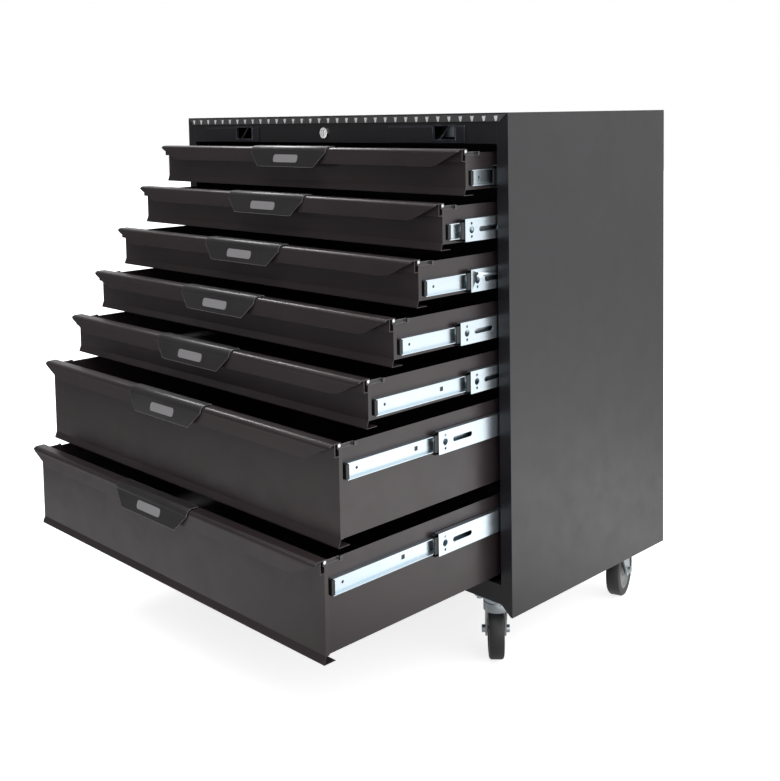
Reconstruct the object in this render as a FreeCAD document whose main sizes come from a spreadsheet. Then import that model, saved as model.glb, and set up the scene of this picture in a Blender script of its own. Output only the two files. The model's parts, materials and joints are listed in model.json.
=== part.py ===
import FreeCAD, Part
import Sketcher
import math
import os
import re

# A rolling tool cabinet: a welded sheet steel carcass on four swivel casters, five shallow and
# two deep drawers on telescopic slides, a sprung latch in each drawer front and one lock for all.
# X runs across the cabinet, Y from its front to its back and Z up, with all lengths in millimetres.
# The origin lies on the floor, under the middle of the cabinet's box with its drawers pulled out.

SHALLOW_DRAWERS = 5
DEEP_DRAWERS = 2
DRAWERS = range(1, SHALLOW_DRAWERS + DEEP_DRAWERS + 1)

doc = FreeCAD.newDocument("RollingToolCabinet")
sheet = doc.addObject("Spreadsheet::Sheet", "Sizes")

# Driving sizes, one cell each

CARCASS = {
    "carcass_width": 882,
    "carcass_depth": 460,
    "caster_height": 108,
    "wall_sheet": 1.2,
    "base_sheet": 1.5,
    "stile_width": 23.5,
    "stile_lip": 12,
    "rear_flange": 14,
    "skirt_height": 16.5,
    "skirt_corner": 3.5,
    "bottom_rail_height": 33.5,
    "rail_lip": 15,
    "fascia_height": 36,
    "top_edge": 2.5,
    "cut_past": 2,
    "upright_depth": 40,
    "rear_upright_setback": 60,
}
TRIM = {
    "trim_height": 11.5,
    "trim_sheet": 1.2,
    "trim_backing": 0.6,
    "trim_overhang": 18.5,
    "trim_mitre": 14.4,
    "tooth_pitch": 25.3,
    "tooth_count": 34,
    "tooth_wide": 8.5,
    "tooth_narrow": 3.5,
    "tooth_height": 8.6,
    "tooth_sill": 0.6,
    "tooth_set_back": 0.3,
}
ACCESSORY = {
    "plate_width": 180,
    "plate_height": 29,
    "plate_proud": 3,
    "plate_lip": 1,
    "hook_sheet": 1.5,
    "plate_left": 286.5,
    "plate_right": 261,
    "plate_margin": 1.5,
    "window_width": 49,
    "window_height": 22,
    "window_offset": 44.5,
    "window_rim": 2.2,
    "rim_proud": 1,
    "hook_width": 4,
    "hook_lean": 13,
}
FRONTS = {
    "shallow_front": 73.5,
    "deep_front": 153,
    "front_gap": 8,
    "top_gap": 6,
    "bottom_gap": 2.5,
    "side_gap": 4.5,
    "drawer_sheet": 0.8,
    "box_depth": 425,
    "box_side_gap": 9,
    "box_floor_rise": 8,
    "foot_flare": 4,
    "foot_height": 12,
    "foot_roll": 1.5,
    "return_depth": 21.5,
    "end_flange_depth": 10.5,
    "panel_drop": 9,
    "side_drop": 7,
}
HANDLE = {
    "handle_sheet": 1.2,
    "nose_reach": 15,
    "nose_radius": 9,
    "flap_drop": 28,
    "flap_corner_width": 60,
    "flap_corner_top": 4,
    "corner_blend_width": 14,
    "corner_blend_height": 2.5,
    "base_reach": 8,
    "base_drop": 20,
    "bearing_width": 6,
}
LATCH = {
    "rod_diameter": 5,
    "rod_drop": 4,
    "rod_setback": 1,
    "bearing_clearance": 0.05,
    "cap_width": 210,
    "cap_sheet": 1,
    "cap_gap": 1.4,
    "cap_drop": 35,
    "cap_flare": 7,
    "cap_taper": 26,
    "slot_clearance": 1.2,
    "slot_front_clearance": 0.8,
    "handle_back_gap": 0.1,
    "arm_sheet": 2,
    "arm_height": 6,
    "arm_reach": 35,
    "arm_gap": 0.3,
    "nose_plate": 3.4,
    "nose_overlap": 4.7,
    "catch_depth": 3,
    "catch_height": 4,
    "catch_clearance": 0.3,
    "catch_gap": 0.6,
    "catch_side_gap": 1.2,
}
SLIDES = {
    "slide_length": 400,
    "slide_setback": 22,
    "slide_drop": 46.5,
    "slide_thickness": 12.7,
    "slide_sheet": 1.2,
    "outer_height": 45,
    "outer_depth": 9.2,
    "middle_height": 36.3,
    "middle_depth": 9.4,
    "middle_inset": 0.6,
    "inner_height": 25.4,
    "inner_depth": 7.5,
    "race_clearance": 0.3,
    "cage_width": 3,
    "middle_travel": 190,
    "drawer_travel": 217,
    "access_hole": 11,
    "access_hole_setback": 15,
    "screw_hole": 4.5,
    "screw_hole_offset": 10.5,
    "head_slot_start": 33,
    "head_slot_length": 45,
    "head_slot_height": 8,
    "inner_hole_setback": 23,
    "square_hole": 7,
    "square_hole_setback": 147,
}
OPENINGS = {
    "open_1": 75,
    "open_2": 130,
    "open_3": 185,
    "open_4": 240,
    "open_5": 294,
    "open_6": 353,
    "open_7": 385,
    "middle_out_1": 18,
    "middle_out_2": 97,
    "middle_out_3": 84.5,
    "middle_out_4": 111,
    "middle_out_5": 88.5,
    "middle_out_6": 165,
    "middle_out_7": 168.5,
}
LOCK = {
    "barrel_diameter": 16,
    "flange_diameter": 21,
    "flange_height": 3,
    "barrel_length": 14.7,
    "barrel_fit": 0.2,
    "nut_diameter": 22,
    "nut_height": 4,
    "plug_diameter": 11,
    "plug_fit": 0.05,
    "key_slot": 1.6,
    "key_slot_height": 7,
    "key_slot_depth": 6,
    "cam_diameter": 22,
    "cam_sheet": 3,
    "cam_gap": 0.3,
    "link_throw": 8,
    "bar_lift": 5,
    "pin_diameter": 4,
    "pin_clearance": 0.4,
    "link_height": 20,
    "link_rise": 2,
    "link_side_gap": 0.8,
    "crank_slot_below": 4,
    "crank_slot_above": 4.8,
    "link_sheet": 3,
    "bar_sheet": 3,
    "bar_width": 16,
    "slide_play": 0.3,
    "lug_height": 4,
    "lug_gap": 1,
    "lug_reach": 7,
}
CASTERS = {
    "caster_inset_side": 58,
    "caster_inset_front": 28,
    "caster_inset_rear": 78,
    "wheel_diameter": 100,
    "wheel_width": 26,
    "tyre_depth": 14,
    "tyre_crown": 3,
    "hub_width": 24,
    "trail": 28,
    "plate_length": 52,
    "plate_breadth": 52,
    "plate_sheet": 2.5,
    "screw_head": 10,
    "screw_head_height": 4,
    "screw_inset": 6,
    "race_diameter": 42,
    "race_height": 8,
    "race_gap": 0.3,
    "fork_head_diameter": 44,
    "fork_head_height": 15,
    "king_pin": 10,
    "king_pin_fit": 0.1,
    "king_pin_head": 14,
    "king_pin_head_height": 2,
    "king_pin_head_fit": 0.5,
    "king_pin_play": 0.3,
    "tyre_clearance": 2.5,
    "fork_sheet": 3,
    "fork_leg_width": 22,
    "fork_tip_chamfer": 5.5,
    "fork_shoulder": 14.5,
    "wheel_side_gap": 2,
    "axle_diameter": 8,
    "axle_fit": 0.1,
    "nut_across": 13,
    "axle_nut_height": 6,
    "front_turn": 223,
    "rear_turn": 198,
}

row = 0
for group in (CARCASS, TRIM, ACCESSORY, FRONTS, HANDLE, LATCH, SLIDES, OPENINGS, LOCK, CASTERS):
    for name, size in group.items():
        row += 1
        sheet.set(f"A{row}", name)
        sheet.set(f"B{row}", str(size))
        sheet.setAlias(f"B{row}", name)
doc.recompute()

# Lengths that follow from the driving sizes, each a formula in their names

FORMULAS = {
    "half_width": "carcass_width / 2",
    "wall_inside": "half_width - wall_sheet",
    "half_opening": "half_width - stile_width",
    "half_front": "half_opening - side_gap",
    "half_box": "half_front - box_side_gap",
    "slide_back": "half_box + slide_thickness",
    "fronts_height": f"{SHALLOW_DRAWERS} * shallow_front + {DEEP_DRAWERS} * deep_front"
    f" + {len(DRAWERS) - 1} * front_gap",
    "opening_bottom": "skirt_height + bottom_rail_height",
    "opening_top": "opening_bottom + bottom_gap + fronts_height + top_gap",
    "trim_bottom": "opening_top + fascia_height",
    "rail_top": "trim_bottom + trim_height",
    "carcass_height": "rail_top + top_edge",
    "front_reach": "open_7 + nose_reach + cap_gap + cap_sheet + cap_flare",
    "face_y": "(front_reach - carcass_depth) / 2",
    "panel_y": "foot_flare",
    "rod_y": "panel_y + rod_setback",
    "rod_radius": "rod_diameter / 2",
    "box_front_y": "rod_y + rod_radius + rod_setback",
    "lock_z": "opening_top + fascia_height / 2",
    "lock_bar_y": "slide_setback + lug_gap",
    "upright_y": "lock_bar_y + bar_sheet + slide_play",
}
depth_below = "opening_bottom + bottom_gap"
for n in reversed(DRAWERS):
    height = "shallow_front" if n <= SHALLOW_DRAWERS else "deep_front"
    FORMULAS[f"front_{n}"] = height
    FORMULAS[f"foot_{n}"] = depth_below
    FORMULAS[f"top_{n}"] = f"foot_{n} + front_{n}"
    depth_below = f"top_{n} + front_gap"


def cells(formula):
    """A formula in plain names, written in the sheet's cells."""

    def cell(match):
        name = match.group(0)
        if name in FORMULAS:
            return "(" + cells(FORMULAS[name]) + ")"
        return name if name in ("sqrt", "sin", "cos") else "Sizes." + name

    return re.sub(r"[a-z][a-z_0-9]*", cell, formula)


def value(formula):
    """What a formula comes to with the sheet's present sizes."""
    return float(sheet.evalExpression(cells(formula)))


def bind(thing, **formulas):
    """Ties properties of an object to formulas; x, y and z stand for its place."""
    for name, formula in formulas.items():
        target = "Placement.Base." + name if name in "xyz" else name
        thing.setExpression(target, cells(formula))
    return thing


# Frames: where the pieces of one group stand. Each piece is drawn in its own group's frame.

def in_carcass(piece):
    """Y from the plane of the stiles, Z from the underside of the carcass."""
    return bind(piece, y="face_y", z="caster_height")


def in_drawer(piece, n):
    """Y from the tip of drawer n's foot, Z from the top of its front."""
    return bind(piece, y=f"face_y - open_{n}", z=f"caster_height + top_{n}")


# Shapes bound to the sheet

def box(x0, x1, y0, y1, z0, z1):
    """A block between six planes."""
    block = doc.addObject("Part::Box", "Block")
    return bind(
        block,
        x=x0,
        y=y0,
        z=z0,
        Length=f"({x1}) - ({x0})",
        Width=f"({y1}) - ({y0})",
        Height=f"({z1}) - ({z0})",
    )


def rod(axis, radius, start, end, a="0", b="0"):
    """A round bar along X, Y or Z from start to end, at the other two places a and b."""
    bar = doc.addObject("Part::Cylinder", "Bar")
    bind(bar, Radius=radius, Height=f"({end}) - ({start})")
    if axis == "x":
        bar.Placement.Rotation = FreeCAD.Rotation(FreeCAD.Vector(0, 1, 0), 90)
        return bind(bar, x=start, y=a, z=b)
    if axis == "y":
        bar.Placement.Rotation = FreeCAD.Rotation(FreeCAD.Vector(1, 0, 0), -90)
        return bind(bar, x=a, y=start, z=b)
    return bind(bar, x=a, y=b, z=start)


def fuse(*pieces):
    joined = doc.addObject("Part::MultiFuse", "Joined")
    joined.Shapes = list(pieces)
    joined.Refine = True
    return joined


def cut(piece, *tools):
    remainder = doc.addObject("Part::Cut", "Remainder")
    remainder.Base = piece
    remainder.Tool = tools[0] if len(tools) == 1 else fuse(*tools)
    return remainder


def mirror(piece, normal=(1, 0, 0)):
    twin = doc.addObject("Part::Mirroring", "Twin")
    twin.Source = piece
    twin.Normal = FreeCAD.Vector(*normal)
    return twin


def group(*pieces):
    """Like pieces that stay separate solids in one sub-part."""
    several = doc.addObject("Part::Compound", "Several")
    several.Links = list(pieces)
    return several


def round_stretch(here, there, radius):
    """An arc between two places, turning left, or right where its radius has a minus."""
    chord = there.sub(here)
    half = chord.Length / 2
    rise = (radius * radius - half * half) ** 0.5
    left = FreeCAD.Vector(-chord.y, chord.x, 0).normalize()
    centre = here + chord * 0.5 + left * (rise if radius > 0 else -rise)
    start, end = (here, there) if radius > 0 else (there, here)
    angles = [math.atan2(place.y - centre.y, place.x - centre.x) for place in (start, end)]
    if angles[1] < angles[0]:
        angles[1] += 2 * math.pi
    return Part.ArcOfCircle(Part.Circle(centre, FreeCAD.Vector(0, 0, 1), abs(radius)), *angles)


def outline(body, plane, loops):
    """A sketch of closed loops. A corner is (across, up), or (across, up, radius) where an arc of
    that radius leads on to the next corner, turning left, or right where the radius has a minus."""
    sketch = body.newObject("Sketcher::SketchObject", "Outline")
    planes = [feature for feature in body.Origin.OriginFeatures if feature.Role == plane]
    sketch.AttachmentSupport = [(planes[0], "")]
    sketch.MapMode = "FlatFace"
    edges = []
    rules = []
    formulas = []
    for corners in loops:
        first = len(edges)
        places = [FreeCAD.Vector(value(corner[0]), value(corner[1]), 0) for corner in corners]
        ends = []
        for i, corner in enumerate(corners):
            here = places[i]
            there = places[(i + 1) % len(places)]
            if len(corner) == 2:
                edges.append(Part.LineSegment(here, there))
                ends.append((1, 2))
                continue
            radius = value(corner[2])
            edges.append(round_stretch(here, there, radius))
            ends.append((1, 2) if radius > 0 else (2, 1))
            rules.append(Sketcher.Constraint("Radius", first + i, abs(radius)))
            formulas.append(corner[2].lstrip("-"))
        for i, corner in enumerate(corners):
            after = (i + 1) % len(corners)
            rules.append(
                Sketcher.Constraint("Coincident", first + i, ends[i][1], first + after, ends[after][0])
            )
            formulas.append(None)
            for direction, place, formula in (
                ("DistanceX", places[i].x, corner[0]),
                ("DistanceY", places[i].y, corner[1]),
            ):
                rules.append(Sketcher.Constraint(direction, -1, 1, first + i, ends[i][0], place))
                formulas.append(formula)
    sketch.addGeometry(edges)
    sketch.addConstraint(rules)
    for k, formula in enumerate(formulas):
        if formula:
            sketch.setExpression(f"Constraints[{k}]", cells(formula))
    return sketch


def pad(plane, corners, length, *holes):
    """A body of one outline, with holes in it, drawn out to both sides of its plane."""
    body = doc.addObject("PartDesign::Body", "Body")
    feature = body.newObject("PartDesign::Pad", "Pad")
    feature.Profile = outline(body, plane, [corners, *holes])
    feature.Midplane = True
    feature.setExpression("Length", cells(length))
    body.Tip = feature
    return body


def turned(corners):
    """A body of one outline, across and along its axis, turned about the X axis."""
    body = doc.addObject("PartDesign::Body", "Body")
    feature = body.newObject("PartDesign::Revolution", "Revolution")
    sketch = outline(body, "XZ_Plane", [corners])
    feature.Profile = sketch
    feature.ReferenceAxis = (sketch, ["H_Axis"])
    feature.Angle = 360
    body.Tip = feature
    return body


def pocket(body, plane, *loops):
    """Cuts outlines right through a body, to both sides of their plane."""
    feature = body.newObject("PartDesign::Pocket", "Pocket")
    feature.Profile = outline(body, plane, loops)
    feature.Type = "ThroughAll"
    feature.Midplane = True
    body.Tip = feature
    return body


PARTS = {}


def sub_part(name, piece):
    """Names a finished piece."""
    piece.Label = name
    PARTS[name] = piece
    return piece


# Carcass: two side panels, each one sheet folded into a front stile with its lip and a rear flange

def side_panel():
    corners = [
        ("half_opening", "0"),
        ("half_width", "0"),
        ("half_width", "carcass_depth"),
        ("half_width - rear_flange", "carcass_depth"),
        ("half_width - rear_flange", "carcass_depth - wall_sheet"),
        ("wall_inside", "carcass_depth - wall_sheet"),
        ("wall_inside", "wall_sheet"),
        ("half_opening + wall_sheet", "wall_sheet"),
        ("half_opening + wall_sheet", "stile_lip"),
        ("half_opening", "stile_lip"),
    ]
    panel = bind(pad("XY_Plane", corners, "rail_top"), z="rail_top / 2")
    slant = [
        ("half_opening - wall_sheet", "-skirt_height"),
        ("half_width - skirt_corner", "-skirt_height"),
        ("half_width - skirt_corner", "0"),
        ("half_opening", "skirt_height"),
        ("half_opening - wall_sheet", "skirt_height"),
    ]
    front_cut = bind(pad("XZ_Plane", slant, "4 * stile_lip"), y="0")
    rear_cut = box(
        "half_width - 2 * rear_flange",
        "half_width - skirt_corner",
        "carcass_depth - stile_lip",
        "carcass_depth + stile_lip",
        "-skirt_height",
        "skirt_height",
    )
    return cut(panel, front_cut, rear_cut)


sub_part("right_side_panel", in_carcass(group(side_panel())))
sub_part("left_side_panel", in_carcass(mirror(side_panel())))

sub_part(
    "back_panel",
    in_carcass(
        group(
            box(
                "-wall_inside",
                "wall_inside",
                "carcass_depth - 2 * wall_sheet",
                "carcass_depth - wall_sheet",
                "skirt_height + base_sheet",
                "rail_top",
            )
        )
    ),
)

# The top is a shallow tray turned over, with its edge down on the side panels and the rails

top_sheet = box("-half_width", "half_width", "0", "carcass_depth", "rail_top", "carcass_height")
top_hollow = box(
    "-wall_inside",
    "wall_inside",
    "wall_sheet",
    "carcass_depth - wall_sheet",
    "rail_top",
    "carcass_height - wall_sheet",
)
sub_part("top_panel", in_carcass(cut(top_sheet, top_hollow)))

# The floor and the bottom rail in front of it are one sheet

floor_top = "skirt_height + base_sheet"
floor_back = "carcass_depth - wall_sheet"
floor_plate = box("-wall_inside", "wall_inside", "stile_lip", floor_back, "skirt_height", floor_top)
rail_corners = [
    ("0", "skirt_height"),
    ("stile_lip + base_sheet", "skirt_height"),
    ("stile_lip + base_sheet", floor_top),
    ("base_sheet", floor_top),
    ("base_sheet", "opening_bottom - base_sheet"),
    ("rail_lip", "opening_bottom - base_sheet"),
    ("rail_lip", "opening_bottom"),
    ("0", "opening_bottom"),
]
bottom_rail = pad("YZ_Plane", rail_corners, "2 * half_opening")
sub_part("bottom_panel", in_carcass(fuse(floor_plate, bottom_rail)))

# The top rail carries the lock and the two accessory plates, and is open behind their windows

lock_x = "0"


def plate_centre(side):
    return "-plate_left" if side < 0 else "plate_right"


def window(side, y0, y1, grow="0"):
    """The block of air in an accessory plate's window."""
    centre = f"{plate_centre(side)} + window_offset"
    return box(
        f"{centre} - window_width / 2 - {grow}",
        f"{centre} + window_width / 2 + {grow}",
        y0,
        y1,
        f"lock_z - window_height / 2 - {grow}",
        f"lock_z + window_height / 2 + {grow}",
    )


def rail_length(near, far, top):
    """A length of the rail's folded sheet, up to the given height."""
    corners = [
        ("0", "opening_top"),
        ("rail_lip", "opening_top"),
        ("rail_lip", "opening_top + wall_sheet"),
        ("wall_sheet", "opening_top + wall_sheet"),
        ("wall_sheet", top),
        ("0", top),
    ]
    return bind(pad("YZ_Plane", corners, f"{far} - ({near})"), x=f"({near} + {far}) / 2")


def window_edge(side, end):
    return f"{plate_centre(side)} + window_offset + {end} * window_width / 2"


def rail_round_window(side):
    """The rail's sheet under and over an accessory plate's window."""
    near = window_edge(side, -1)
    far = window_edge(side, 1)
    under = rail_length(near, far, "lock_z - window_height / 2")
    over = box(near, far, "0", "wall_sheet", "lock_z + window_height / 2", "rail_top")
    return group(under, over)


rail_hole = rod(
    "y",
    "barrel_diameter / 2 + barrel_fit",
    "-cut_past",
    "wall_sheet + cut_past",
    lock_x,
    "lock_z",
)
rail_middle = cut(rail_length(window_edge(-1, 1), window_edge(1, -1), "rail_top"), rail_hole)
rail_left_end = rail_length("-half_opening", window_edge(-1, -1), "rail_top")
rail_right_end = rail_length(window_edge(1, 1), "half_opening", "rail_top")
sub_part(
    "top_rail",
    in_carcass(group(rail_left_end, rail_round_window(-1), rail_middle, rail_round_window(1), rail_right_end)),
)

# Trim across the top: a dark mitred strip with windows, and a bright strip whose teeth fill them

trim_bottom_half = "half_opening + trim_overhang - trim_mitre"
trim_top_half = "half_opening + trim_overhang"
trim_corners = [
    (f"-({trim_bottom_half})", "trim_bottom"),
    (trim_bottom_half, "trim_bottom"),
    (trim_top_half, "rail_top"),
    (f"-({trim_top_half})", "rail_top"),
]


def teeth():
    """One outline for each tooth, from the left end of the row to the right."""
    row = []
    for k in range(int(value("tooth_count"))):
        centre = f"({k} - (tooth_count - 1) / 2) * tooth_pitch"
        sill = "trim_bottom + tooth_sill"
        row.append(
            [
                (f"{centre} - tooth_narrow / 2", sill),
                (f"{centre} + tooth_narrow / 2", sill),
                (f"{centre} + tooth_wide / 2", f"{sill} + tooth_height"),
                (f"{centre} - tooth_wide / 2", f"{sill} + tooth_height"),
            ]
        )
    return row


def behind_face(piece, middle):
    """Moves a piece that is drawn out about the XZ plane, so that its middle lies at this Y."""
    return bind(piece, y=middle)


dark_strip = pad("XZ_Plane", trim_corners, "trim_sheet", *teeth())
sub_part("edge_trim", in_carcass(group(behind_face(dark_strip, "-trim_backing - trim_sheet / 2"))))
backing = behind_face(pad("XZ_Plane", trim_corners, "trim_backing"), "-trim_backing / 2")
tooth_depth = "trim_sheet - tooth_set_back"
tooth_row = teeth()
tooth_bodies = [
    behind_face(pad("XZ_Plane", tooth, tooth_depth), f"-trim_backing - ({tooth_depth}) / 2") for tooth in tooth_row
]
sub_part("trim_strip", in_carcass(fuse(backing, *tooth_bodies)))

# Accessory plates: raised plates on the top rail, each with a rimmed window and a hook across it

def accessory_plate(side):
    half_height = "(fascia_height / 2 - plate_margin)"
    low = f"lock_z - {half_height}"
    high = f"{low} + plate_height"
    corners = [
        ("0", low),
        ("0", high),
        ("-plate_lip", high),
        ("-plate_proud", f"{high} - plate_proud"),
        ("-plate_proud", low),
    ]
    plate = bind(pad("YZ_Plane", corners, "plate_width"), x=plate_centre(side))
    rim = window(side, "-plate_proud - rim_proud", "-plate_proud", "window_rim")
    solid = cut(fuse(plate, rim), window(side, "-plate_proud - rim_proud - cut_past", "cut_past"))
    centre = f"{plate_centre(side)} + window_offset"
    hook_corners = [
        (f"{centre} - hook_lean", "lock_z - window_height / 2"),
        (f"{centre} - hook_lean + hook_width", "lock_z - window_height / 2"),
        (f"{centre} + hook_lean", "lock_z + window_height / 2"),
        (f"{centre} + hook_lean - hook_width", "lock_z + window_height / 2"),
    ]
    hook = behind_face(pad("XZ_Plane", hook_corners, "hook_sheet"), "-hook_sheet / 2")
    return fuse(solid, hook)


sub_part("accessory_plates", in_carcass(group(accessory_plate(-1), accessory_plate(1))))

# Four channel uprights inside the side panels carry the slides; the front pair has the latch catches

def upright(start):
    """A channel with its web towards the drawers and its flanges on the side panel."""
    end = f"{start} + upright_depth"
    corners = [
        ("slide_back", start),
        ("wall_inside", start),
        ("wall_inside", f"{start} + wall_sheet"),
        ("slide_back + wall_sheet", f"{start} + wall_sheet"),
        ("slide_back + wall_sheet", f"{end} - wall_sheet"),
        ("wall_inside", f"{end} - wall_sheet"),
        ("wall_inside", end),
        ("slide_back", end),
    ]
    height = f"rail_top - ({floor_top})"
    return bind(pad("XY_Plane", corners, height), z=f"({floor_top} + rail_top) / 2")


FORMULAS["arm_top_drop"] = "rod_drop + 1"
FORMULAS["arm_end_y"] = "rod_y + arm_reach"
FORMULAS["catch_back_y"] = "arm_end_y - nose_plate - catch_gap"


def latch_catch(n):
    """A small stop on the front upright, just before the closed latch's nose."""
    low = f"top_{n} - arm_top_drop + catch_clearance"
    return box(
        "half_box + arm_gap + arm_sheet + catch_side_gap",
        "slide_back",
        "catch_back_y - catch_depth",
        "catch_back_y",
        low,
        f"{low} + catch_height",
    )


def uprights():
    front = fuse(upright("upright_y"), *[latch_catch(n) for n in DRAWERS])
    rear = upright("carcass_depth - rear_upright_setback - upright_depth / 2")
    return front, rear


right_uprights = group(*uprights())
sub_part("slide_uprights", in_carcass(group(right_uprights, mirror(group(*uprights())))))

# Telescopic slides: the outer member stays on the uprights, the middle one rides in it on ball cages
# and the inner one, on the drawer, rides in the middle one

def channel(web_x, flange_x, half_height, length, web_side):
    """A C-shaped rail from Y 0 to its length, with its web at web_x and its flanges up to flange_x."""
    inner_web = f"{web_x} + slide_sheet" if web_side > 0 else f"{web_x} - slide_sheet"
    corners = [
        (web_x, f"-({half_height})"),
        (flange_x, f"-({half_height})"),
        (flange_x, f"-({half_height}) + slide_sheet"),
        (inner_web, f"-({half_height}) + slide_sheet"),
        (inner_web, f"{half_height} - slide_sheet"),
        (flange_x, f"{half_height} - slide_sheet"),
        (flange_x, half_height),
        (web_x, half_height),
    ]
    return bind(pad("XZ_Plane", corners, length), y=f"{length} / 2")


FORMULAS["middle_web"] = "slide_back - slide_sheet - middle_inset"


def outer_member(n):
    member = channel("slide_back", "slide_back - outer_depth", "outer_height / 2", "slide_length", -1)
    holder = group(member)
    return bind(holder, y="slide_setback", z=f"top_{n} - slide_drop")


def middle_member():
    member = channel("middle_web", "middle_web - middle_depth", "middle_height / 2", "slide_length", -1)
    cage_x = "middle_web - middle_depth / 2"
    cages = []
    for sign in ("", "-"):
        outer_edge = "outer_height / 2 - slide_sheet - race_clearance"
        inner_edge = "inner_height / 2 + race_clearance"
        flange_inside = "middle_height / 2 - slide_sheet"
        for start, end, low, high in (
            ("middle_travel + cage_width", "slide_length - cage_width", "middle_height / 2", outer_edge),
            ("cage_width", "slide_length - drawer_travel - cage_width", inner_edge, flange_inside),
        ):
            z0, z1 = (low, high) if sign == "" else (f"-({high})", f"-({low})")
            cages.append(
                box(f"{cage_x} - cage_width / 2", f"{cage_x} + cage_width / 2", start, end, z0, z1)
            )
    through = ("middle_web - slide_sheet - cut_past", "middle_web + cut_past")
    slot_half = "head_slot_height / 2"
    slot_front = f"head_slot_start + {slot_half}"
    slot_back = f"head_slot_start + head_slot_length - {slot_half}"
    holes = [
        rod("x", "access_hole / 2", *through, "access_hole_setback"),
        rod("x", "screw_hole / 2", *through, "access_hole_setback", "screw_hole_offset"),
        rod("x", "screw_hole / 2", *through, "access_hole_setback", "-screw_hole_offset"),
        rod("x", slot_half, *through, slot_front),
        rod("x", slot_half, *through, slot_back),
        box(*through, slot_front, slot_back, f"-{slot_half}", slot_half),
    ]
    return cut(fuse(member, *cages), *holes)


def inner_member():
    member = channel("half_box", "half_box + inner_depth", "inner_height / 2", "slide_length", 1)
    through = ("half_box - cut_past", "half_box + slide_sheet + cut_past")
    round_hole = rod("x", "screw_hole / 2", *through, "inner_hole_setback")
    square_hole = box(
        *through,
        "square_hole_setback - square_hole / 2",
        "square_hole_setback + square_hole / 2",
        "-square_hole / 2",
        "square_hole / 2",
    )
    return cut(member, round_hole, square_hole)


right_outers = [outer_member(n) for n in DRAWERS]
left_outers = mirror(group(*[outer_member(n) for n in DRAWERS]))
sub_part("outer_slides", in_carcass(group(*right_outers, left_outers)))


def middle_slides(n):
    pair = group(middle_member(), mirror(middle_member()))
    return bind(
        pair,
        y=f"face_y + slide_setback - middle_out_{n}",
        z=f"caster_height + top_{n} - slide_drop",
    )


def inner_slides(n):
    pair = group(inner_member(), mirror(inner_member()))
    return bind(
        pair,
        y=f"face_y - open_{n} + slide_setback",
        z=f"caster_height + top_{n} - slide_drop",
    )


# Drawers: one folded and welded box each, whose front turns forward into a foot and in under it

def drawer_box(n):
    foot = f"-front_{n}"
    floor = f"{foot} + box_floor_rise"
    front_corners = [
        ("panel_y", "-panel_drop"),
        ("panel_y", f"{foot} + foot_height"),
        ("0", f"{foot} + foot_roll"),
        ("0", foot),
        ("return_depth", foot),
        ("return_depth", f"{foot} + drawer_sheet"),
        ("drawer_sheet", f"{foot} + drawer_sheet"),
        ("drawer_sheet", f"{foot} + foot_roll"),
        ("panel_y + drawer_sheet", f"{foot} + foot_height"),
        ("panel_y + drawer_sheet", "-panel_drop"),
    ]
    sheets = [pad("YZ_Plane", front_corners, "2 * half_front")]
    panel_back = "panel_y + drawer_sheet"
    box_back = "box_depth - drawer_sheet"
    inside = "(half_box - drawer_sheet)"
    for near, far in ((inside, "half_box"), ("-half_box", f"-{inside}")):
        sheets.append(box(near, far, panel_back, "box_depth", floor, "-side_drop"))
    low = f"{foot} + foot_height"
    for near, far in (
        ("half_front - drawer_sheet", "half_front"),
        ("-half_front", "-half_front + drawer_sheet"),
    ):
        sheets.append(box(near, far, panel_back, "end_flange_depth", low, "-panel_drop"))
    sheets.append(box(f"-{inside}", inside, box_back, "box_depth", floor, "-side_drop"))
    sheets.append(box(f"-{inside}", inside, panel_back, box_back, floor, f"{floor} + drawer_sheet"))
    return group(*sheets)


# Handle: one rolled profile along the whole front, with a finger gap behind its flap, the flap's
# ends cut off at a slant, and a bearing block for the latch rod in each end

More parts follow.
